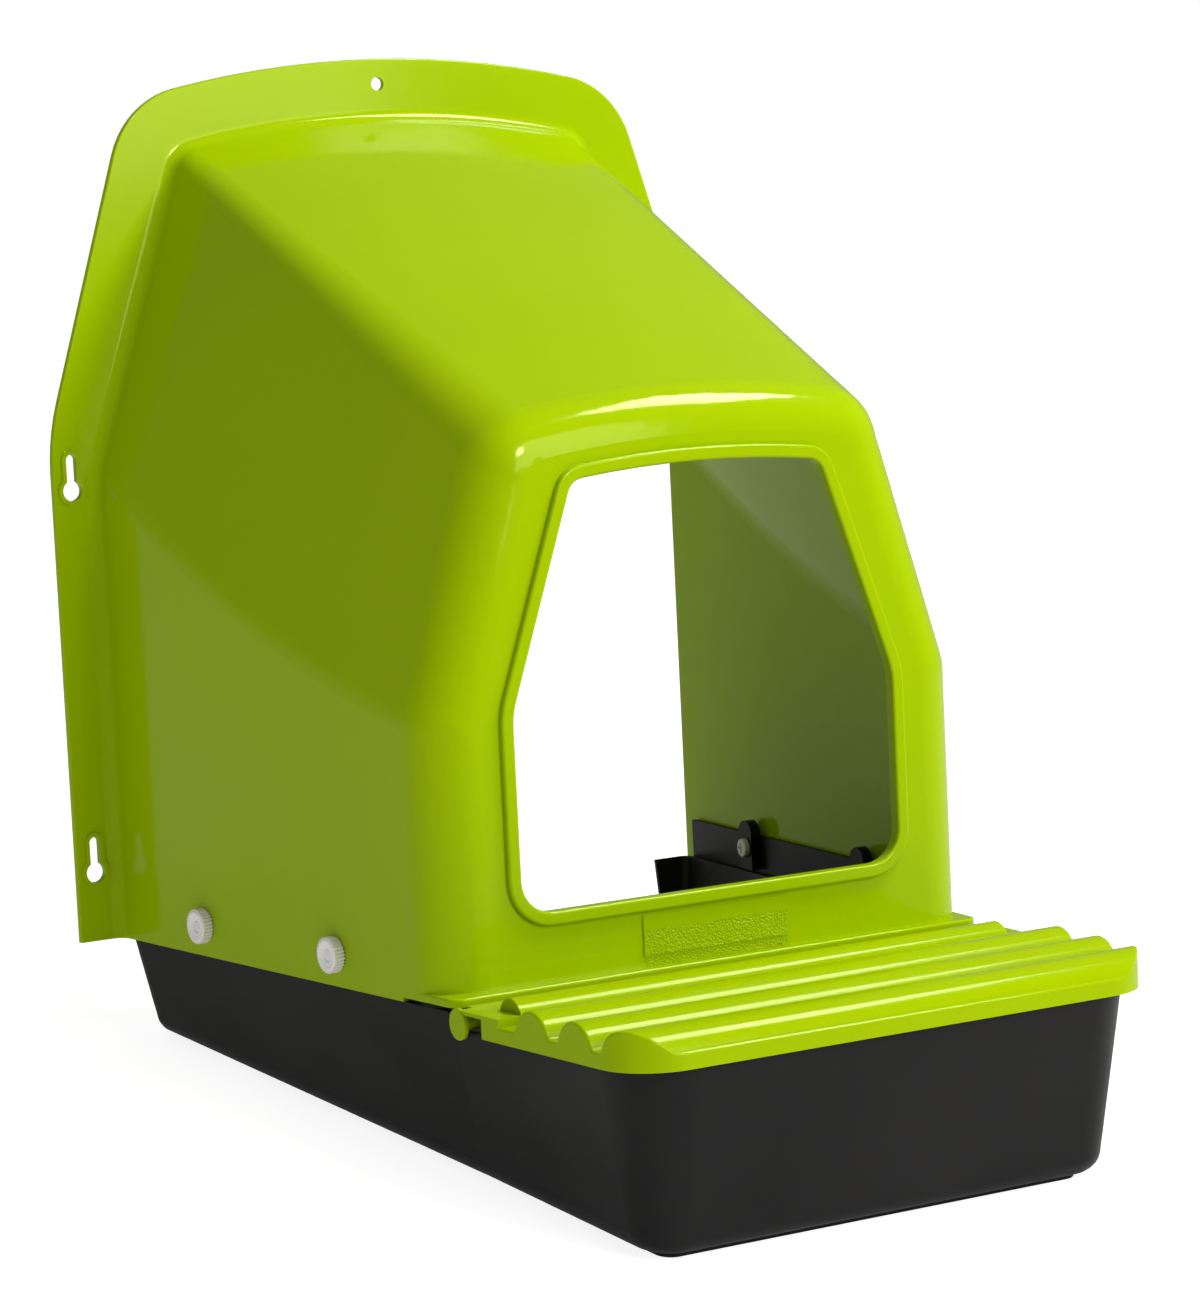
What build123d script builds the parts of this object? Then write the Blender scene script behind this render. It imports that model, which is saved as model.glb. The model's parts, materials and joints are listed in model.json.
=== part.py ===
"""Wall-hung roll-away nest box for one laying hen.

A glossy hood with a wall flange screws to a deep tray. A hinged ribbed cover closes the egg
compartment at the front and serves as the landing step, and a loose sloping nest pan lies in the tray.

The pieces are drawn as they hang on the wall: x across, -y out towards the hen, z up, with the wall
at y = 0 and the joint between hood and tray at z = 0. At the end they are all turned about x, so that
the tray's foot, which slopes down to the front, stands flat on the ground. All sizes are in millimetres.
"""
from build123d import *
from math import atan2, cos, degrees, hypot, pi, radians, sin, sqrt, tan
import os

# Overall
hood_depth = 296.0            # wall to the outside of the front panel
flange_height = 440.0
tray_front = hood_depth + 152.0

# Hood
hood_wall = 3.0
hood_half_rear = 172.4        # half widths of the lower side walls
hood_half_front = 146.5
shoulder_rear = 116.0         # half widths where the leaning sides reach the roof
shoulder_front = 106.0
shoulder_drop = 10.0          # how far the shoulder lies under the roof's crown
roof_rear = flange_height - 29.0   # height of the roof's crown at the wall and at the front
roof_front = 268.0
kink_rear = 240.0             # height where the sides start to lean in
kink_front = 127.0
kink_sag = 15.0               # how far that crease hangs under a straight line
kink_radius = 36.0
crown_radius = 560.0
corner_rear = 14.0            # roof corner radii
corner_front = 34.0
front_round = 26.0            # rounding round the front panel

# Wall flange
flange_half = 195.5
flange_wall = 3.0
flange_kink = 256.0
flange_shoulder = 141.0
flange_corner = 48.0
flange_kink_radius = 120.0
flange_fillet = 7.0
flange_round = 1.0            # rounding of the flange's outer edge
keyhole_x = 185.5
keyhole_low = 35.0            # heights of the keyholes' round parts
keyhole_high = 229.0
keyhole_radius = 5.2
keyhole_slot = 2.75           # half width of the slot
keyhole_rise = 15.5           # round centre to slot end's centre
keyhole_rim = 2.2
rim_rise = 1.2
top_hole_height = flange_height - 13.0
top_hole_radius = 3.6

# Doorway in the front panel
door_half = hood_half_front - 42.0
door_sill = 38.5
door_kink = kink_front + 4.0
door_shoulder = shoulder_front - 36.0
door_top = roof_front - 29.0
door_corner = 9.0
door_sill_corner = 16.0
bead_width = 6.5
bead_rise = 3.0
bead_round = 1.4

# Lip and name panel at the foot of the front panel
lip_reach = 8.0
lip_low = 2.0
lip_thick = 4.0
lip_back = 34.0
lip_corner = 7.0
lip_round = 1.2
panel_half = 40.0
panel_low = 11.0
panel_high = 30.0
panel_rise = 0.8

# Tray
tray_rear = 4.0               # gap to the wall
tray_wall = 3.0
tray_draft = 9.0              # degrees
tray_drop = 46.0              # depth under the hood at the wall
floor_slope = 0.1116          # fall of the floor towards the front
tray_half_front = 137.0       # half width at the front; the sides bend a little where the hood ends
tray_corner_front = 34.0
tray_corner_rear = 13.0
tray_round = 10.0
foot_inset = 11.0
foot_rise = 3.0
rear_wall_top = -22.0
front_rim_drop = 3.0          # the rim steps down in front of the hood
rim_step = hood_depth + 6.0
ledge_thick = 3.5
upstand_gap = 0.5             # between hood and the upstand inside it
upstand_wall = 3.0
ledge_width = hood_wall + upstand_gap + upstand_wall
upstand_top = 22.0
upstand_start = 14.0
upstand_end = hood_depth - 28.0

# Fasteners
screw_spots = (hood_depth - 210.6, hood_depth - 90.3)   # distances from the wall
screw_height = 15.5
screw_radius = 2.9
screw_hole_gap = 0.2
nut_bore_gap = 0.05
head_radius = 5.0
head_thick = 2.6
boss_half = 7.0
boss_thick = 5.0
boss_low = 4.0
boss_above = 7.5              # screw axis to the centre of the boss's round top
nut_radius = 8.5
nut_thick = 5.6
nut_gap = 0.1
nut_flutes = 30
flute_radius = 0.55

# Egg cover
cover_corner = tray_corner_front - 6.0
cover_round = 1.2
pin_spot = hood_depth + 15.0  # hinge axis, distance from the wall and height
pin_height = -3.5
pin_radius = 3.5
pin_gap = 0.3
disc_radius = 7.4
disc_thick = 2.4
notch_end = pin_spot + 17.0
cover_wall = 2.0
cover_side_gap = 1.2          # skirt to tray
cover_front_gap = 1.5
skirt_low = -7.6
valley_top = -0.6
strip_top = 3.2
strip_thick = 1.8
strip_start = pin_spot - 4.0
strip_step = 1.5              # its ends start this far in front of the hinge axis
skirt_start = pin_spot + 20.0
box_start = pin_spot + 32.0
rib_spots = (tray_front - 77.0, tray_front - 43.5, tray_front - 10.5)
rib_half = 13.0
rib_rise = 11.0
rib_foot = 2.5                # rounding where a rib meets the flat between ribs
first_rib_spot = pin_spot + 23.5
first_rib_half = 9.5
first_rib_rise = 6.4
first_rib_length = 134.0      # half length
tab_gap = 1.2

# Nest pan
pan_inset = 7.5
pan_wall = 2.0
pan_rear = 9.0
pan_front = hood_depth - 8.0
pan_side_top = 2.0
pan_back_top = -20.0
pan_lift = 12.0               # underside of its floor over the tray's floor
pan_floor = 2.4
pan_rib_spots = tuple(40.0 + (pan_front - 78.0) * i / 3 for i in range(4))
pan_rib_thick = 3.0
pan_slot_rows = 7
pan_slot_columns = 8
pan_slot_pitch = (26.0, (pan_front - 50.0) / pan_slot_rows)
pan_slot_size = (22.0, 5.0)

side_run = (hood_half_rear - hood_half_front) / hood_depth
side_turn = degrees(atan2(side_run, 1))
foot_turn = degrees(atan2(floor_slope, 1))
foot_drop = tray_drop + foot_rise
foot_middle = (tray_rear + tray_front) / 2
stand_point = Vector(0, -foot_middle, -foot_drop - floor_slope * foot_middle)


def half_width(depth):
    """Half width of the hood's and the tray's sides at a distance from the wall."""
    start = hood_half_rear - side_run * rim_step
    front_run = (start - tray_half_front) / (tray_front - rim_step)
    return hood_half_rear - side_run * depth if depth < rim_step else start - front_run * (depth - rim_step)


def arch(half, sill, kink, shoulder, top, corner, bend, inset=0.0):
    """Points of an arched outline in x and z: upright sides, leaning sides and a crowned top."""
    lean = atan2(half - shoulder, top - shoulder_drop - kink)
    along = Vector(-sin(lean), cos(lean))
    inward = Vector(-cos(lean), -sin(lean))
    start = Vector(half - inset, kink - inset * tan(lean / 2))
    crown = crown_radius - inset
    hub = Vector(0, top - crown_radius)
    small = corner - inset
    offset = start + inward * small - hub
    reach = offset.dot(along)
    run = -reach + sqrt(reach**2 - offset.dot(offset) + (crown - small) ** 2)
    centre = start + inward * small + along * run
    outward = (centre - hub).normalized()
    tangent = (bend - inset) * tan(lean / 2)
    bend_centre = start - Vector(0, tangent) - Vector(bend - inset, 0)
    bend_middle = bend_centre + Vector(cos(lean / 2), sin(lean / 2)) * (bend - inset)
    corner_middle = centre + (outward - inward).normalized() * small
    return [
        Vector(half - inset, sill),
        start - Vector(0, tangent),
        bend_middle,
        start + along * tangent,
        centre - inward * small,
        corner_middle,
        hub + outward * crown,
        Vector(0, top - inset),
    ]


def arch_face(points, depth):
    """The closed face of an arched outline, upright at a distance from the wall."""
    def at(p, side=1):
        return (side * p.X, -depth, p.Y)

    foot, k1, k2, k3, c1, c2, c3, top = points
    right = [Line(at(foot), at(k1)), ThreePointArc(at(k1), at(k2), at(k3)), Line(at(k3), at(c1))]
    right.append(ThreePointArc(at(c1), at(c2), at(c3)))
    left = [ThreePointArc(at(c3, -1), at(c2, -1), at(c1, -1)), Line(at(c1, -1), at(k3, -1))]
    left += [ThreePointArc(at(k3, -1), at(k2, -1), at(k1, -1)), Line(at(k1, -1), at(foot, -1))]
    crown = ThreePointArc(at(c3), at(top), at(c3, -1))
    return make_face(right + [crown] + left + [Line(at(foot, -1), at(foot))])


def hood_section(depth, inset, sill):
    """The hood's cross-section at a distance from the wall."""
    share = depth / hood_depth
    kink = kink_rear + (kink_front - kink_rear) * share - 4 * kink_sag * share * (1 - share)
    shoulder = shoulder_rear + (shoulder_front - shoulder_rear) * share
    top = roof_rear + (roof_front - roof_rear) * share
    corner = corner_rear + (corner_front - corner_rear) * share
    points = arch(half_width(depth), sill, kink, shoulder, top, corner, kink_radius, inset)
    return arch_face(points, depth)


def hood_loft(start, end, inset, sill, rounding):
    """One skin of the hood, from wall to front panel, with the front's edges rounded."""
    steps = [start + (end - start) * i / 4 for i in range(5)]
    skin = loft([hood_section(depth, inset, sill) for depth in steps])
    front = skin.faces().sort_by(Axis.Y)[0]
    edges = [e for e in front.edges() if e.center().Z > sill + 1]
    return fillet(edges, rounding)


def make_flange():
    outline = arch(flange_half, 0, flange_kink, flange_shoulder, flange_height, flange_corner,
                   flange_kink_radius)
    plate = extrude(arch_face(outline, 0), amount=flange_wall, dir=(0, -1, 0))
    front = plate.faces().sort_by(Axis.Y)[0]
    return fillet([e for e in front.edges() if e.center().Z > 0.5], flange_round)


def keyhole(side, height, grow, low, high):
    """A keyhole, or its rim, as a plug from one depth to another."""
    plane = Plane(origin=(side * keyhole_x, -low, height), x_dir=(1, 0, 0), z_dir=(0, -1, 0))
    rounds = plane * Circle(keyhole_radius + grow)
    slot = plane * Pos(0, keyhole_rise) * Circle(keyhole_slot + grow)
    slot += plane * Pos(0, keyhole_rise / 2) * Rectangle(2 * (keyhole_slot + grow), keyhole_rise)
    return extrude(rounds + slot, amount=high - low, dir=(0, -1, 0))


def door_plug(grow, depth, length):
    """The doorway's outline, grown all round, as a plug."""
    points = arch(door_half, door_sill, door_kink, door_shoulder, door_top, door_corner,
                  kink_radius, -grow)
    points[0] = Vector(door_half + grow, door_sill - grow)
    face = arch_face(points, depth)
    corners = face.vertices().sort_by(Axis.Z)[:2]
    return extrude(fillet(corners, door_sill_corner + grow), amount=length, dir=(0, -1, 0))


def make_lip():
    """The ledge round the foot of the front panel, square at its ends."""
    back, front = hood_depth - lip_back, hood_depth + lip_reach
    plan = Polyline((-half_width(back), -back), (-half_width(front), -front),
                    (half_width(front), -front), (half_width(back), -back), close=True)
    face = make_face(plan)
    face = fillet(face.vertices().sort_by(Axis.Y)[:2], lip_corner)
    plate = Pos(0, 0, lip_low) * extrude(face, amount=lip_thick)
    return fillet(plate.faces().sort_by(Axis.Z)[-1].edges(), lip_round)


def side_place(side, depth, height, inset):
    """A frame on a side wall, z outwards and y up, at a depth measured along the wall's normal."""
    outward = Vector(side, -side_run, 0).normalized()
    point = Vector(side * half_width(depth), -depth, height) - outward * inset
    return Plane(origin=point, x_dir=Vector(0, 0, 1).cross(outward), z_dir=outward)


def screw_places():
    return [(side, depth) for side in (-1, 1) for depth in screw_spots]


def make_hood():
    inside = hood_loft(-1, hood_depth - hood_wall, hood_wall, -1, front_round - hood_wall)
    shell = hood_loft(0, hood_depth, 0, 0, front_round) + make_flange()
    seam = [e for e in shell.edges().filter_by(GeomType.BSPLINE)
            if abs(e.bounding_box().min.Y + flange_wall) < 0.02
            and abs(e.bounding_box().max.Y + flange_wall) < 0.02]
    shell = fillet(seam, flange_fillet)
    lip = make_lip()
    back, front = hood_depth - hood_wall / 2, hood_depth + panel_rise
    panel = Box(2 * panel_half, front - back, panel_high - panel_low)
    shell += Pos(0, -(back + front) / 2, (panel_low + panel_high) / 2) * panel
    doorway = door_plug(0, hood_depth - hood_wall - 20, hood_wall + 40)
    bead = door_plug(bead_width, hood_depth - hood_wall, hood_wall + bead_rise) - doorway
    bead = fillet(bead.faces().sort_by(Axis.Y)[0].edges(), bead_round)
    shell = shell + lip - inside - doorway + bead
    toe = Box(2 * flange_half, lip_back + lip_reach, lip_low)
    shell -= Pos(0, -(hood_depth + (lip_reach - lip_back) / 2), lip_low / 2) * toe
    for side in (-1, 1):
        for height in (keyhole_low, keyhole_high):
            shell += keyhole(side, height, keyhole_rim, flange_wall, flange_wall + rim_rise)
            shell -= keyhole(side, height, 0, -1, flange_wall + rim_rise + 1)
    top_hole = Cylinder(top_hole_radius, 4 * flange_wall, rotation=(90, 0, 0))
    shell -= Pos(0, 0, top_hole_height) * top_hole
    hole = Cylinder(screw_radius + screw_hole_gap, 4 * hood_wall)
    for side, depth in screw_places():
        shell -= side_place(side, depth, screw_height, hood_wall / 2).location * hole
    return shell


def plan_face(inset, rear, front, z, rounds):
    """A tray outline in plan: sides with a slight bend, rounded corners at the front and the rear."""
    stations = [rear] + [rim_step] * (rear < rim_step < front) + [front]
    side = [(half_width(d) - inset * hypot(1, side_run), -d) for d in stations]
    outline = side + [(-x, y) for x, y in reversed(side)]
    face = Pos(0, 0, z) * make_face(Polyline(*outline, close=True))
    for corners, radius in zip((side[-1], side[0]), rounds):
        if radius > 0:
            y = corners[1]
            face = fillet([v for v in face.vertices() if abs(v.Y - y) < 0.01], radius)
    return face


def tub(inset, rear, front, top, drop, corners, rounding=0.0):
    """A tapered tub whose floor slopes with the tray's foot, as a solid block."""
    depth = drop + floor_slope * front + 30
    shrink = tan(radians(tray_draft))
    faces = []
    for z in (top, -depth):
        taper = inset - z * shrink
        rounds = (max(corners[0] - taper, 0), corners[1] - inset)
        faces.append(plan_face(taper, rear - z * shrink, front + z * shrink, z, rounds))
    block = loft(faces, ruled=True)
    waste = Pos(0, 0, -drop) * Rot(foot_turn, 0, 0) * Pos(0, -front / 2, -depth) * Box(
        4 * flange_half, 3 * front, 2 * depth)
    block = block - waste
    if rounding:
        floor = block.faces().sort_by(Axis.Z)[0]
        block = fillet(floor.edges(), rounding)
    return block


def side_strip(side, insets, ends, heights):
    """A straight bar along a side wall, between two insets, two ends and two heights."""
    near, far = [i * hypot(1, side_run) for i in insets]
    start, end = ends
    corners = [(side * (half_width(start) - near), -start), (side * (half_width(end) - near), -end),
               (side * (half_width(end) - far), -end), (side * (half_width(start) - far), -start)]
    bar = extrude(make_face(Polyline(*corners, close=True)), amount=heights[1] - heights[0], dir=(0, 0, 1))
    return Pos(0, 0, heights[0]) * bar


def boss(side, depth):
    """A round-topped pad on the upstand, which the screw passes through."""
    inner = ledge_width + boss_thick
    place = side_place(side, depth, screw_height, inner).location
    plate = Pos(0, (boss_above + boss_low - screw_height) / 2) * Rectangle(
        2 * boss_half, boss_above + screw_height - boss_low)
    plate += Pos(0, boss_above) * Circle(boss_half)
    return place * extrude(plate, amount=boss_thick + 0.5)


def make_tray():
    corners = (tray_corner_front, tray_corner_rear)
    shell = tub(0, tray_rear, tray_front, 0, tray_drop, corners, tray_round)
    foot = tub(foot_inset, tray_rear + foot_inset, tray_front - foot_inset, 0, foot_drop, corners)
    low = Pos(0, 0, -tray_drop + tray_wall + 0.5) * Rot(foot_turn, 0, 0) * Pos(0, -foot_middle, 500)
    shell += foot - low * Box(1000, 2000, 1000)
    rear, front = tray_rear + tray_wall, tray_front - tray_wall
    shell -= tub(tray_wall, rear, front, 1, tray_drop - tray_wall, corners, tray_round - tray_wall)
    inset = foot_inset + tray_wall
    shell -= tub(inset, tray_rear + inset, tray_front - inset, -5, foot_drop - tray_wall, corners)
    front_length = tray_front - rim_step + 1
    shell -= Pos(0, -(rim_step + front_length / 2), -front_rim_drop / 2 + 0.5) * Box(
        3 * hood_half_rear, front_length, front_rim_drop + 1)
    back_half = half_width(0) - ledge_width - tray_corner_rear
    shell -= Pos(0, 0, rear_wall_top / 2 + 1) * Box(2 * back_half, 40, -rear_wall_top + 2)
    out = ledge_width - upstand_wall
    for side in (-1, 1):
        shell += side_strip(side, (1, ledge_width), (tray_rear + tray_corner_rear, rim_step - 2),
                            (-ledge_thick, 0))
        shell += side_strip(side, (out, ledge_width), (upstand_start, upstand_end),
                            (-ledge_thick, upstand_top))
        shell -= notch(side)
    hole = Cylinder(screw_radius + screw_hole_gap, 6 * ledge_width)
    for side, depth in screw_places():
        shell += boss(side, depth)
        shell -= side_place(side, depth, screw_height, ledge_width).location * hole
    return shell


def notch(side):
    """The slot in the tray's wall that the cover's pin drops into."""
    plane = Plane(origin=(side * half_width(pin_spot), 0, 0), x_dir=(0, -1, 0), z_dir=(-1, 0, 0))
    radius = pin_radius + pin_gap
    rear = pin_spot - radius
    slot = plane * Pos(pin_spot, pin_height) * Circle(radius)
    slot += plane * Pos(pin_spot, pin_height + 10) * Rectangle(2 * radius, 20)
    length = notch_end - pin_spot
    slot += plane * Pos(pin_spot + length / 2, pin_height + 10 - radius / 2) * Rectangle(
        length, 20 + radius)
    assert rear > rim_step
    return extrude(slot, amount=4 * tray_wall, both=True)


def make_screw(side, depth):
    """A pan-head machine screw, from inside the boss out to the nut."""
    inner = ledge_width + boss_thick
    place = side_place(side, depth, screw_height, inner).location
    length = inner + nut_gap + nut_thick - 1
    shank = Pos(0, 0, length / 2) * Cylinder(screw_radius, length)
    head = Pos(0, 0, -head_thick / 2) * Cylinder(head_radius, head_thick)
    head = fillet(head.edges().sort_by(Axis.Z)[:1], 1.0)
    drive = Pos(0, 0, -head_thick) * Box(6, 1.2, 1.6) + Pos(0, 0, -head_thick) * Box(1.2, 6, 1.6)
    screw = head - drive + shank
    tip = screw.edges().filter_by(GeomType.CIRCLE).sort_by(Axis.Z)[-1:]
    return place * chamfer(tip, 0.5)


def make_nut(side, depth):
    """A round hand nut with a fluted edge and a dished face."""
    place = side_place(side, depth, screw_height, -nut_gap).location
    body = Pos(0, 0, nut_thick / 2) * Cylinder(nut_radius, nut_thick)
    body = chamfer(body.edges().filter_by(GeomType.CIRCLE), 0.5)
    flute = Pos(nut_radius + 0.15, 0, nut_thick / 2) * Cylinder(flute_radius, nut_thick)
    body -= [Rot(0, 0, 360 * i / nut_flutes) * flute for i in range(nut_flutes)]
    body -= Pos(0, 0, nut_thick) * Cylinder(5.2, 1.0)
    body -= Pos(0, 0, nut_thick / 2) * Cylinder(screw_radius + nut_bore_gap, 2 * nut_thick)
    return place * body


def short_rib(length, inset=0.0):
    """The first rib, rounded and shorter than the others, or its hollow."""
    radius = (first_rib_half**2 + first_rib_rise**2) / (2 * first_rib_rise)
    middle = strip_top + first_rib_rise - radius
    bar = Pos(0, -first_rib_spot, middle) * Cylinder(radius - inset, 2 * length, rotation=(0, 90, 0))
    floor = strip_top - (strip_thick if inset else 0)
    return bar & Pos(0, -first_rib_spot, floor + 25) * Box(2 * length, 4 * first_rib_half, 50)


def cover_plan(inset, start, low, high):
    """The cover's outline in plan as a block, with its front corners rounded."""
    outset = cover_side_gap + cover_wall - inset
    front = tray_front + cover_front_gap + cover_wall - inset
    face = plan_face(-outset, start, front, 0, (cover_corner - inset, 0))
    return Pos(0, 0, low) * extrude(face, amount=high - low, dir=(0, 0, 1))


def wave_bar(start, end, sink, low):
    """The space under the waved top, or under its underside, as a bar across the cover."""
    plane = Plane(origin=(0, 0, 0), x_dir=(0, -1, 0), z_dir=(-1, 0, 0))
    top = valley_top - sink
    section = Pos((start + end) / 2, (low + top) / 2) * Rectangle(end - start, top - low)
    radius = (rib_half**2 + rib_rise**2) / (2 * rib_rise)
    for spot in rib_spots:
        section += Pos(spot, valley_top + rib_rise - radius) * Circle(radius - sink)
    feet = [v for v in section.vertices() if abs(v.Y - top) < 0.01 and start + 1 < v.X < end - 1]
    return extrude(plane * fillet(feet, rib_foot + sink / 2), amount=hood_half_rear, both=True)


def make_cover():
    crest = valley_top + rib_rise + 1
    front = tray_front + cover_front_gap + cover_wall
    box = cover_plan(0, box_start, skirt_low, crest) & wave_bar(box_start - 5, front + 5, 0, -20)
    rim = [e for e in box.edges() if e.bounding_box().min.Z > skirt_low + 0.5
           and (e.bounding_box().size.X < tray_half_front or e.bounding_box().max.Y < -front + 0.05)]
    box = fillet(rim, cover_round)
    hollow = cover_plan(cover_wall, box_start - 1, skirt_low - 1, crest)
    cover = box - (hollow & wave_bar(box_start - 5, front + 5, cover_wall, -20))
    cover += cover_plan(0, box_start, skirt_low + 5, strip_top) & cover_riser()
    cover += make_strip()
    for side in (-1, 1):
        skirt = (-cover_side_gap - cover_wall, -cover_side_gap)
        cover += side_strip(side, skirt, (skirt_start, box_start + 1), (skirt_low, strip_top))
        cover += hinge_end(side)
    return cover


def cover_riser():
    """The upright step between the strip at the hinge and the ribbed part."""
    low, high = valley_top - cover_wall, strip_top
    return Pos(0, -(box_start + 1), (low + high) / 2) * Box(400, 2, high - low)


def make_strip():
    """The flat strip along the hinge, with the first, shorter rib."""
    low, high = strip_top - strip_thick, strip_top
    outer = -cover_side_gap - cover_wall
    inner = tray_wall + tab_gap
    start = pin_spot + strip_step
    strip = side_strip(1, (outer, half_width(pin_spot)), (start, box_start + 2), (low, high))
    strip += side_strip(-1, (outer, half_width(pin_spot)), (start, box_start + 2), (low, high))
    back = half_width(pin_spot) - inner - 1
    strip += Pos(0, -(strip_start + start + 1) / 2, (low + high) / 2) * Box(
        2 * back, start + 1 - strip_start, strip_thick)
    length = first_rib_length - cover_wall
    width = 2 * (first_rib_half - cover_wall) - 3
    slot = Pos(0, -first_rib_spot, low) * Box(2 * length, width, 2 * strip_thick)
    return (strip + short_rib(first_rib_length)) - short_rib(length, cover_wall) - slot


def hinge_end(side):
    """A pin through the tray's notch, held by an inner tab and closed by a round head outside."""
    plane = Plane(origin=(side * half_width(pin_spot), -pin_spot, pin_height),
                  x_dir=(0, side, 0), z_dir=(side, 0, 0))
    inner = tray_wall + tab_gap
    tab = 3.0
    head = cover_side_gap + cover_wall
    start = -(inner + tab)
    pin = plane * Pos(0, 0, (start + head) / 2) * Cylinder(pin_radius, head - start)
    disc = plane * Pos(0, 0, head - disc_thick / 2 + 0.2) * Cylinder(disc_radius, disc_thick)
    disc = fillet(disc.edges().filter_by(GeomType.CIRCLE), 0.6)
    rise = strip_top - pin_height
    web = plane * Pos(0, rise / 2, start + tab / 2) * Box(2 * pin_radius, rise, tab)
    return pin + disc + web


def make_pan():
    """The loose sloping pan that the hen sits in, open at the front so that eggs roll out."""
    corners = (0, tray_corner_rear)
    floor = foot_drop - tray_wall - pan_lift
    pan = tub(pan_inset, pan_rear, pan_front, pan_side_top, floor, corners)
    inset = pan_inset + pan_wall
    inside = floor - pan_floor
    pan -= tub(inset, pan_rear + pan_wall, pan_front + 60, pan_side_top + 1, inside, corners)
    pan -= Pos(0, -pan_rear, pan_back_top + 50) * Box(2 * (half_width(0) - 30), 40, 100)
    for spot in pan_rib_spots:
        pan += pan_rib(spot, floor)
    tilt = Pos(0, 0, -floor) * Rot(foot_turn, 0, 0)
    for column in range(pan_slot_columns):
        for row in range(pan_slot_rows):
            x = (column - (pan_slot_columns - 1) / 2) * pan_slot_pitch[0]
            y = -(28 + (row + 0.5) * pan_slot_pitch[1])
            pan -= tilt * Pos(x, y, 0) * extrude(SlotOverall(*pan_slot_size), amount=12, both=True)
    return pan


def pan_rib(spot, floor):
    """A cross rib that carries the pan on the tray's floor."""
    length = 2 * (half_width(spot) - 45)
    height = pan_lift * cos(radians(foot_turn))
    place = Pos(0, 0, -floor) * Rot(foot_turn, 0, 0) * Pos(0, -spot, (1 - height) / 2)
    return place * Box(length, pan_rib_thick, height + 1)


def stood(shape):
    """Turn a hung piece so that the tray's foot is flat on the ground, with the origin under it."""
    return Rot(-foot_turn, 0, 0) * Pos(-stand_point) * shape


def nodes():
    yield "hood", make_hood()
    yield "tray", make_tray()
    yield "egg_cover", make_cover()
    yield "nest_pan", make_pan()
    names = ("left_rear", "left_front", "right_rear", "right_front")
    for name, (side, depth) in zip(names, screw_places()):
        yield f"screw_{name}", make_screw(side, depth)
        yield f"hand_nut_{name}", make_nut(side, depth)


os.makedirs("parts", exist_ok=True)
for node, shape in nodes():
    export_step(stood(shape), f"parts/{node}.step")
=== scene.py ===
"""Wall-hung nest box for one laying hen, standing on its tray as it would on a table."""
import json
from math import pi, radians

import bmesh
import bpy
from mathutils import Matrix, Vector


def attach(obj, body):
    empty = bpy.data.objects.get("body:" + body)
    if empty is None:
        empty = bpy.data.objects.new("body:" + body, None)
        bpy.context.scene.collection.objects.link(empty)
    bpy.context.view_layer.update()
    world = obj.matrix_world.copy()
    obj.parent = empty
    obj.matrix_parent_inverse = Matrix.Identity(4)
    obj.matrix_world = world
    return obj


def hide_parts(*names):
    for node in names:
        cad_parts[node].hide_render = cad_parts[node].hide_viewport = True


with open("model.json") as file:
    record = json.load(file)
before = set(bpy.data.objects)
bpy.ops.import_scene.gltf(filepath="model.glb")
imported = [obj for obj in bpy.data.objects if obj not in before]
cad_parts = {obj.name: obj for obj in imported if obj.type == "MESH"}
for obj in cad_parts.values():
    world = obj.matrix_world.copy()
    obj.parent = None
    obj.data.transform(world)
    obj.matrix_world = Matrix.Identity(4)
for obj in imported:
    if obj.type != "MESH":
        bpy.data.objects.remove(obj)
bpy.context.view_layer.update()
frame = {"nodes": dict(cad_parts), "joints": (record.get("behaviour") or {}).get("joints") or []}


# Tray. A deep injection-moulded tub in black polypropylene that takes the litter at the back and the
# eggs at the front. Its walls draft inwards, and the mould has left a fine satin grain on them.
def node(tree, kind, at, **values):
    made = tree.nodes.new(kind)
    made.location = at
    for key, value in values.items():
        if hasattr(made, key):
            setattr(made, key, value)
        else:
            made.inputs[key.replace("_", " ")].default_value = value
    return made


def link(tree, *pairs):
    for start, end in pairs:
        tree.links.new(start, end)


def new_material(name):
    material = bpy.data.materials.new(name)
    material.use_nodes = True
    tree = material.node_tree
    shader = next(n for n in tree.nodes if n.type == "BSDF_PRINCIPLED")
    return material, tree, shader


def mottled_colour(tree, shader, coordinate, dark, light, scale):
    """Base colour that drifts between two close shades, as pigment does in a moulded wall."""
    cloud = node(tree, "ShaderNodeTexNoise", (-900, 300), Scale=scale, Detail=4.0, Roughness=0.55)
    mix = node(tree, "ShaderNodeMix", (-500, 300), data_type="RGBA")
    spread = node(tree, "ShaderNodeMapRange", (-700, 300))
    spread.inputs["From Min"].default_value, spread.inputs["From Max"].default_value = 0.3, 0.7
    mix.inputs[6].default_value, mix.inputs[7].default_value = (*dark, 1), (*light, 1)
    link(tree, (coordinate, cloud.inputs["Vector"]), (cloud.outputs["Fac"], spread.inputs["Value"]),
         (spread.outputs["Result"], mix.inputs["Factor"]), (mix.outputs[2], shader.inputs["Base Color"]))
    return mix


def varied_roughness(tree, shader, coordinate, low, high, scale, stretch=(1, 1, 1)):
    """Roughness that changes in faint smears, as handling leaves it."""
    place = node(tree, "ShaderNodeMapping", (-1100, 0))
    place.inputs["Scale"].default_value = stretch
    smear = node(tree, "ShaderNodeTexNoise", (-900, 0), Scale=scale, Detail=6.0, Roughness=0.6)
    spread = node(tree, "ShaderNodeMapRange", (-700, 0))
    for name, value in (("From Min", 0.35), ("From Max", 0.65), ("To Min", low), ("To Max", high)):
        spread.inputs[name].default_value = value
    link(tree, (coordinate, place.inputs["Vector"]), (place.outputs["Vector"], smear.inputs["Vector"]),
         (smear.outputs["Fac"], spread.inputs["Value"]),
         (spread.outputs["Result"], shader.inputs["Roughness"]))


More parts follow.
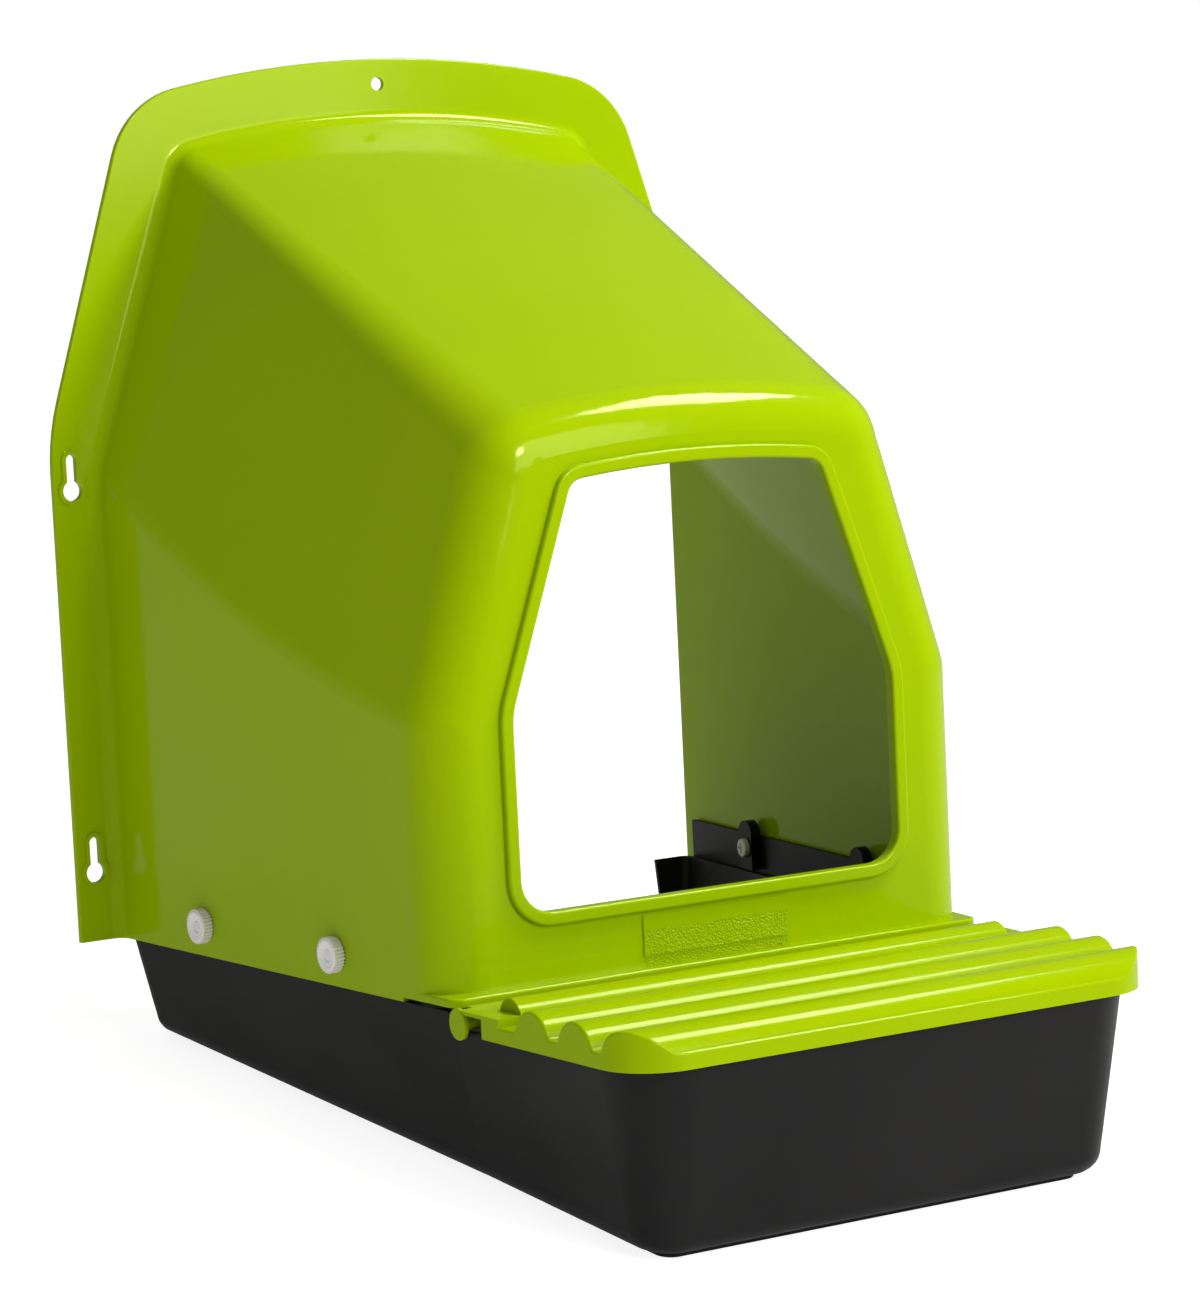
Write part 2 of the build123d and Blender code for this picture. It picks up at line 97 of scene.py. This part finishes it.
def relief(tree, coordinate, scale, depth, strength, below=None, detail=3.0):
    """A layer of bump: fine grain, or the slow waviness of a moulded wall."""
    grain = node(tree, "ShaderNodeTexNoise", (-700, -300), Scale=scale, Detail=detail, Roughness=0.5)
    bump = node(tree, "ShaderNodeBump", (-400, -300), Strength=strength, Distance=depth)
    link(tree, (coordinate, grain.inputs["Vector"]), (grain.outputs["Fac"], bump.inputs["Height"]))
    if below:
        tree.links.new(below.outputs["Normal"], bump.inputs["Normal"])
    return bump


def paint(name, material):
    """Gives a frame part its finish."""
    slots = frame["nodes"][name].data.materials
    for index in range(len(slots)):
        slots[index] = material


tray_black, tree, shader = new_material("satin_black_polypropylene")
coordinate = node(tree, "ShaderNodeTexCoord", (-1300, 0)).outputs["Object"]
mottled_colour(tree, shader, coordinate, (0.0066, 0.0058, 0.0055), (0.0102, 0.0091, 0.0087), 9.0)
varied_roughness(tree, shader, coordinate, 0.34, 0.46, 7.0, (1.0, 1.0, 3.0))
waves = relief(tree, coordinate, 22.0, 0.0004, 0.25)
grain = relief(tree, coordinate, 1500.0, 0.0001, 0.22, waves)
tree.links.new(grain.outputs["Normal"], shader.inputs["Normal"])
shader.inputs["Specular IOR Level"].default_value = 0.22
paint("tray", tray_black)

# Nest pan. A loose sloping floor in the same black plastic, duller and more scuffed than the tray,
# because the litter lies in it and the hen scratches over it. It stands on the cross ribs under it.
pan_black, tree, shader = new_material("scuffed_black_polypropylene")
coordinate = node(tree, "ShaderNodeTexCoord", (-1300, 0)).outputs["Object"]
mottled_colour(tree, shader, coordinate, (0.010, 0.010, 0.0102), (0.019, 0.0188, 0.0186), 16.0)
varied_roughness(tree, shader, coordinate, 0.42, 0.62, 12.0, (6.0, 1.0, 1.0))
grain = relief(tree, coordinate, 1100.0, 0.0001, 0.35)
tree.links.new(grain.outputs["Normal"], shader.inputs["Normal"])
paint("nest_pan", pan_black)

# Hood. One glossy lime-green moulding with the wall flange round its back and the doorway in front.
# The thick wall gives it slow waves that show in the reflections, and the name panel is stippled.
def lime_plastic(name, dark, light, smooth, dull):
    material, tree, shader = new_material(name)
    coordinate = node(tree, "ShaderNodeTexCoord", (-1300, 0)).outputs["Object"]
    mottled_colour(tree, shader, coordinate, dark, light, 3.2)
    varied_roughness(tree, shader, coordinate, smooth, dull, 8.0, (1.0, 1.0, 2.5))
    waves = relief(tree, coordinate, 9.0, 0.0012, 0.10, detail=1.0)
    peel = relief(tree, coordinate, 260.0, 0.00006, 0.12, waves, detail=1.5)
    shader.inputs["IOR"].default_value = 1.49
    shader.inputs["Specular IOR Level"].default_value = 0.19
    shader.inputs["Specular Tint"].default_value = (0.97, 1.0, 0.38, 1)
    shader.inputs["Subsurface Weight"].default_value = 0.10
    shader.inputs["Subsurface Radius"].default_value = (1.0, 1.0, 0.02)
    shader.inputs["Subsurface Scale"].default_value = 0.003
    tree.links.new(peel.outputs["Normal"], shader.inputs["Normal"])
    return material, tree, shader, coordinate, peel


lean_back = 6.368
panel_middle, panel_half_size = (0, -0.0599, 0.0950), (0.0398, 0.003, 0.0093)
hood_lime, tree, shader, coordinate, peel = lime_plastic(
    "glossy_lime_hood", (0.300, 0.440, 0.0), (0.330, 0.475, 0.0), 0.07, 0.13)
panel_place = node(tree, "ShaderNodeMapping", (-1100, -600), vector_type="TEXTURE")
panel_place.inputs["Location"].default_value = panel_middle
panel_place.inputs["Rotation"].default_value = (radians(-lean_back), 0, 0)
panel_place.inputs["Scale"].default_value = panel_half_size
panel_edge = node(tree, "ShaderNodeVectorMath", (-900, -600), operation="ABSOLUTE")
panel_axes = node(tree, "ShaderNodeSeparateXYZ", (-750, -600))
panel_far = node(tree, "ShaderNodeMath", (-600, -600), operation="MAXIMUM")
panel_most = node(tree, "ShaderNodeMath", (-450, -600), operation="MAXIMUM")
panel_mask = node(tree, "ShaderNodeMath", (-300, -600), operation="LESS_THAN")
panel_mask.inputs[1].default_value = 1.0
stipple = node(tree, "ShaderNodeTexVoronoi", (-750, -850), Scale=900.0)
stipple_height = node(tree, "ShaderNodeMath", (-300, -850), operation="MULTIPLY")
stipple_bump = node(tree, "ShaderNodeBump", (-100, -700), Strength=0.9, Distance=0.0008)
link(tree, (coordinate, panel_place.inputs["Vector"]),
     (panel_place.outputs["Vector"], panel_edge.inputs[0]),
     (panel_edge.outputs["Vector"], panel_axes.inputs["Vector"]),
     (panel_axes.outputs["X"], panel_far.inputs[0]), (panel_axes.outputs["Y"], panel_far.inputs[1]),
     (panel_far.outputs["Value"], panel_most.inputs[0]), (panel_axes.outputs["Z"], panel_most.inputs[1]),
     (panel_most.outputs["Value"], panel_mask.inputs[0]),
     (coordinate, stipple.inputs["Vector"]), (stipple.outputs["Distance"], stipple_height.inputs[0]),
     (panel_mask.outputs["Value"], stipple_height.inputs[1]),
     (stipple_height.outputs["Value"], stipple_bump.inputs["Height"]),
     (peel.outputs["Normal"], stipple_bump.inputs["Normal"]),
     (stipple_bump.outputs["Normal"], shader.inputs["Normal"]))
paint("hood", hood_lime)

# Egg cover. The same lime plastic, waved so that the hen's feet hold on it, and a little more worn than
# the hood. It turns on two pins moulded with it that lie in notches in the tray's walls.
cover_lime, tree, shader, coordinate, peel = lime_plastic(
    "glossy_lime_cover", (0.298, 0.430, 0.0), (0.325, 0.465, 0.0), 0.10, 0.18)
shader.inputs["Specular IOR Level"].default_value = 0.11
paint("egg_cover", cover_lime)

# Screws. Four pan-head screws in off-white nylon, put in from inside the tray. Only their ends show
# outside, level with the middle of each hand nut.
nylon, tree, shader = new_material("off_white_nylon")
coordinate = node(tree, "ShaderNodeTexCoord", (-1300, 0)).outputs["Object"]
mottled_colour(tree, shader, coordinate, (0.78, 0.765, 0.73), (0.87, 0.86, 0.83), 140.0)
varied_roughness(tree, shader, coordinate, 0.36, 0.52, 180.0)
grain = relief(tree, coordinate, 2600.0, 0.00006, 0.3)
tree.links.new(grain.outputs["Normal"], shader.inputs["Normal"])
shader.inputs["Subsurface Weight"].default_value = 0.15
shader.inputs["Subsurface Scale"].default_value = 0.0015
for spot in ("left_rear", "left_front", "right_rear", "right_front"):
    paint(f"screw_{spot}", nylon)

# Hand nuts. Round off-white nylon nuts, turned by hand, with a finely ridged rim and a dished face.
# The rim and its ridges are coloured a darker, yellower off-white, and the outer edge of the face faintly
# so.
nut_outline = [(2.96, 0.0), (7.2, 0.0), (7.9, 0.35), (8.1, 0.9), (8.1, 4.55), (7.95, 5.05), (7.5, 5.45),
               (6.9, 5.6), (6.2, 5.5), (5.6, 5.15), (5.1, 4.95), (3.9, 4.85), (3.3, 4.75), (2.96, 4.4)]
nut_rim_radius, nut_ridge_radius, nut_ridge_length, nut_ridge_middle = 8.1, 0.58, 4.9, 2.7
nut_ridges, nut_steps = 30, 96
nut_gap = 0.0001
# How far the rim and ridges, and more faintly the outer edge of the face, are shifted to the darker,
# yellower off-white.
rim_tint, face_edge_tint = 0.75, 0.3
rim_from, shoulder_from = 7.8, 6.5
crisp_angle = 38

nut_nylon, tree, shader = new_material("handled_nylon")
coordinate = node(tree, "ShaderNodeTexCoord", (-1300, 0)).outputs["Object"]
mix = mottled_colour(tree, shader, coordinate, (0.88, 0.87, 0.84), (0.94, 0.935, 0.91), 120.0)
varied_roughness(tree, shader, coordinate, 0.34, 0.5, 160.0)
rim = node(tree, "ShaderNodeAttribute", (-500, 550), attribute_name="rim")
rim_tint_mix = node(tree, "ShaderNodeMix", (-250, 400), data_type="RGBA")
rim_tint_mix.inputs[7].default_value = (0.80, 0.74, 0.62, 1)
grain = relief(tree, coordinate, 2400.0, 0.00006, 0.3)
link(tree, (rim.outputs["Fac"], rim_tint_mix.inputs["Factor"]), (mix.outputs[2], rim_tint_mix.inputs[6]),
     (rim_tint_mix.outputs[2], shader.inputs["Base Color"]), (grain.outputs["Normal"], shader.inputs["Normal"]))
shader.inputs["Subsurface Weight"].default_value = 0.15
shader.inputs["Subsurface Scale"].default_value = 0.0015


def turned_nut(name):
    """The plain body of a nut, turned from its outline, in metres with z along the screw."""
    body = bmesh.new()
    rings = []
    for step in range(nut_steps):
        turn = Matrix.Rotation(2 * pi * step / nut_steps, 4, "Z")
        rings.append([body.verts.new(turn @ Vector((r / 1000, 0, z / 1000))) for r, z in nut_outline])
    for ring, following in zip(rings, rings[1:] + rings[:1]):
        for i in range(len(nut_outline)):
            j = (i + 1) % len(nut_outline)
            body.faces.new((ring[i], following[i], following[j], ring[j]))
    bmesh.ops.recalc_face_normals(body, faces=body.faces)
    mesh = bpy.data.meshes.new(name)
    body.to_mesh(mesh)
    body.free()
    return mesh


ridge_tree = bpy.data.node_groups.new("ridged_rim", "GeometryNodeTree")
face = ridge_tree.interface
face.new_socket("Geometry", in_out="INPUT", socket_type="NodeSocketGeometry")
ridge_inputs = {}
for label, kind, value in (("Ridges", "NodeSocketInt", nut_ridges),
                           ("Rim Radius", "NodeSocketFloat", nut_rim_radius / 1000),
                           ("Ridge Radius", "NodeSocketFloat", nut_ridge_radius / 1000),
                           ("Ridge Length", "NodeSocketFloat", nut_ridge_length / 1000),
                           ("Ridge Height", "NodeSocketFloat", nut_ridge_middle / 1000),
                           ("Finish", "NodeSocketMaterial", None)):
    socket = face.new_socket(label, in_out="INPUT", socket_type=kind)
    ridge_inputs[label] = (socket.identifier, value)
face.new_socket("Geometry", in_out="OUTPUT", socket_type="NodeSocketGeometry")
given = node(ridge_tree, "NodeGroupInput", (-900, 0))
circle = node(ridge_tree, "GeometryNodeMeshCircle", (-700, 200))
lift = node(ridge_tree, "ShaderNodeCombineXYZ", (-700, 0))
raised = node(ridge_tree, "GeometryNodeSetPosition", (-500, 200))
bar = node(ridge_tree, "GeometryNodeMeshCylinder", (-700, -200), Vertices=14)
round_bar = node(ridge_tree, "GeometryNodeSetShadeSmooth", (-500, -200))
put = node(ridge_tree, "GeometryNodeInstanceOnPoints", (-300, 100))
real = node(ridge_tree, "GeometryNodeRealizeInstances", (-150, 100))
mark = node(ridge_tree, "GeometryNodeStoreNamedAttribute", (0, 100), data_type="FLOAT", domain="POINT")
mark.inputs["Name"].default_value = "rim"
mark.inputs["Value"].default_value = rim_tint
joined = node(ridge_tree, "GeometryNodeJoinGeometry", (150, 0))
whole = node(ridge_tree, "GeometryNodeRealizeInstances", (300, 0))
coated = node(ridge_tree, "GeometryNodeSetMaterial", (450, 0))
result = node(ridge_tree, "NodeGroupOutput", (600, 0))
link(ridge_tree, (given.outputs["Ridges"], circle.inputs["Vertices"]),
     (given.outputs["Rim Radius"], circle.inputs["Radius"]),
     (given.outputs["Ridge Height"], lift.inputs["Z"]),
     (circle.outputs["Mesh"], raised.inputs["Geometry"]),
     (lift.outputs["Vector"], raised.inputs["Offset"]),
     (given.outputs["Ridge Radius"], bar.inputs["Radius"]),
     (given.outputs["Ridge Length"], bar.inputs["Depth"]),
     (bar.outputs["Mesh"], round_bar.inputs["Geometry"]),
     (raised.outputs["Geometry"], put.inputs["Points"]),
     (round_bar.outputs["Geometry"], put.inputs["Instance"]),
     (put.outputs["Instances"], real.inputs["Geometry"]),
     (real.outputs["Geometry"], mark.inputs["Geometry"]),
     (given.outputs["Geometry"], joined.inputs["Geometry"]),
     (mark.outputs["Geometry"], joined.inputs["Geometry"]),
     (joined.outputs["Geometry"], whole.inputs["Geometry"]),
     (whole.outputs["Geometry"], coated.inputs["Geometry"]),
     (given.outputs["Finish"], coated.inputs["Material"]),
     (coated.outputs["Geometry"], result.inputs["Geometry"]))

for joint in frame["joints"]:
    if not joint["child"].startswith("nut_"):
        continue
    spot = joint["child"][4:]
    body = turned_nut(f"nut_body_{spot}")
    shading = body.attributes.new("rim", "FLOAT", "POINT")
    for vertex in body.vertices:
        radius = vertex.co.xy.length * 1000
        inner = face_edge_tint if radius > shoulder_from else 0.0
        shading.data[vertex.index].value = rim_tint if radius > rim_from else inner
    nut = bpy.data.objects.new(f"nut_blank_{spot}", body)
    bpy.context.scene.collection.objects.link(nut)
    ridges = nut.modifiers.new("ridges", "NODES")
    ridges.node_group = ridge_tree
    for identifier, value in ridge_inputs.values():
        ridges[identifier] = nut_nylon if value is None else value
    graph = bpy.context.evaluated_depsgraph_get()
    mesh = bpy.data.meshes.new_from_object(nut.evaluated_get(graph))
    nut.modifiers.remove(ridges)
    bpy.data.objects.remove(nut)
    axis = Vector(joint["axis"]).normalized()
    turn = axis.to_track_quat("Z", "Y").to_matrix().to_4x4()
    mesh.transform(Matrix.Translation(Vector(joint["pos_m"]) + axis * nut_gap) @ turn)
    mesh.shade_smooth()
    mesh.set_sharp_from_angle(angle=radians(crisp_angle))
    piece = bpy.data.objects.new(f"ridged_nut_{spot}", mesh)
    bpy.context.scene.collection.objects.link(piece)
    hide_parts(f"hand_nut_{spot}")
    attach(piece, joint["child"])

# Floor. A plain pale sweep that the box stands on, so that its foot throws a soft shadow. It looks white,
# lights the box from below, and shows only dimly in the box's gloss, as a darkened studio floor would.
def brightness_by_ray(tree, strength, seen, mirrored, other):
    """How bright a surrounding is when seen directly, in a gloss, or as light on other things."""
    path = node(tree, "ShaderNodeLightPath", (-900, -300))
    direct = node(tree, "ShaderNodeMapRange", (-650, -300))
    direct.inputs["To Min"].default_value, direct.inputs["To Max"].default_value = other, seen
    whole = node(tree, "ShaderNodeMath", (-400, -300), operation="MULTIPLY_ADD")
    whole.inputs[1].default_value = mirrored - other
    link(tree, (path.outputs["Is Camera Ray"], direct.inputs["Value"]),
         (path.outputs["Is Glossy Ray"], whole.inputs[0]), (direct.outputs["Result"], whole.inputs[2]),
         (whole.outputs["Value"], strength))


floor_white, tree, shader = new_material("pale_floor")
coordinate = node(tree, "ShaderNodeTexCoord", (-1300, 0)).outputs["Object"]
mottled_colour(tree, shader, coordinate, (0.44, 0.44, 0.44), (0.46, 0.46, 0.46), 0.8)
shader.inputs["Roughness"].default_value = 0.8
shader.inputs["Specular IOR Level"].default_value = 0.1
shader.inputs["Emission Color"].default_value = (1, 1, 1, 1)
brightness_by_ray(tree, shader.inputs["Emission Strength"], 0.865, 0.13, 0.56)
sweep = bpy.data.meshes.new("floor")
sweep.from_pydata([(-30, -30, 0), (30, -30, 0), (30, 30, 0), (-30, 30, 0)], [], [(0, 1, 2, 3)])
sweep.materials.append(floor_white)
floor = bpy.data.objects.new("floor", sweep)
bpy.context.scene.collection.objects.link(floor)

# Studio. A soft light over the box to its right, a broad one in front of it, a small one that shows only
# as glints in the gloss, and a pale, dim room.
def soft_light(name, place, size, power, aim=(0, 0, 0.2)):
    lamp = bpy.data.lights.new(name, "AREA")
    lamp.shape, lamp.size, lamp.size_y, lamp.energy = "RECTANGLE", size[0], size[1], power
    fitting = bpy.data.objects.new(name, lamp)
    fitting.location = place
    fitting.rotation_euler = (Vector(aim) - Vector(place)).to_track_quat("-Z", "Y").to_euler()
    bpy.context.scene.collection.objects.link(fitting)
    return fitting


soft_light("overhead", (1.0, -0.35, 1.9), (0.6, 0.45), 34)
soft_light("front", (0.7, -2.5, 1.5), (1.6, 1.6), 50)
soft_light("glint", (0.25, -2.4, 1.75), (0.45, 0.45), 42).visible_diffuse = False
world = bpy.data.worlds.new("studio")
world.use_nodes = True
tree = world.node_tree
room = tree.nodes["Background"]
room.inputs["Color"].default_value = (1, 1, 1, 1)
brightness_by_ray(tree, room.inputs["Strength"], 1.0, 0.17, 0.31)
bpy.context.scene.world = world
bpy.context.scene.view_settings.view_transform = "Standard"

# Camera. A long lens, left of the doorway and a little above the roof.
lens = bpy.data.cameras.new("camera")
lens.lens, lens.sensor_width, lens.sensor_fit = 124.5, 36.0, "HORIZONTAL"
lens.clip_end = 60
camera = bpy.data.objects.new("camera", lens)
standpoint = (-1.02255, -1.6423, 0.6188)
forward, right = Vector((0.50702, 0.83822, -0.20092)), Vector((0.85657, -0.51588, 0.00929))
turn = Matrix((right, right.cross(forward), -forward)).transposed().normalized()
camera.matrix_world = Matrix.Translation(standpoint) @ turn.to_4x4()
bpy.context.scene.collection.objects.link(camera)
bpy.context.scene.camera = camera

bpy.context.view_layer.update()
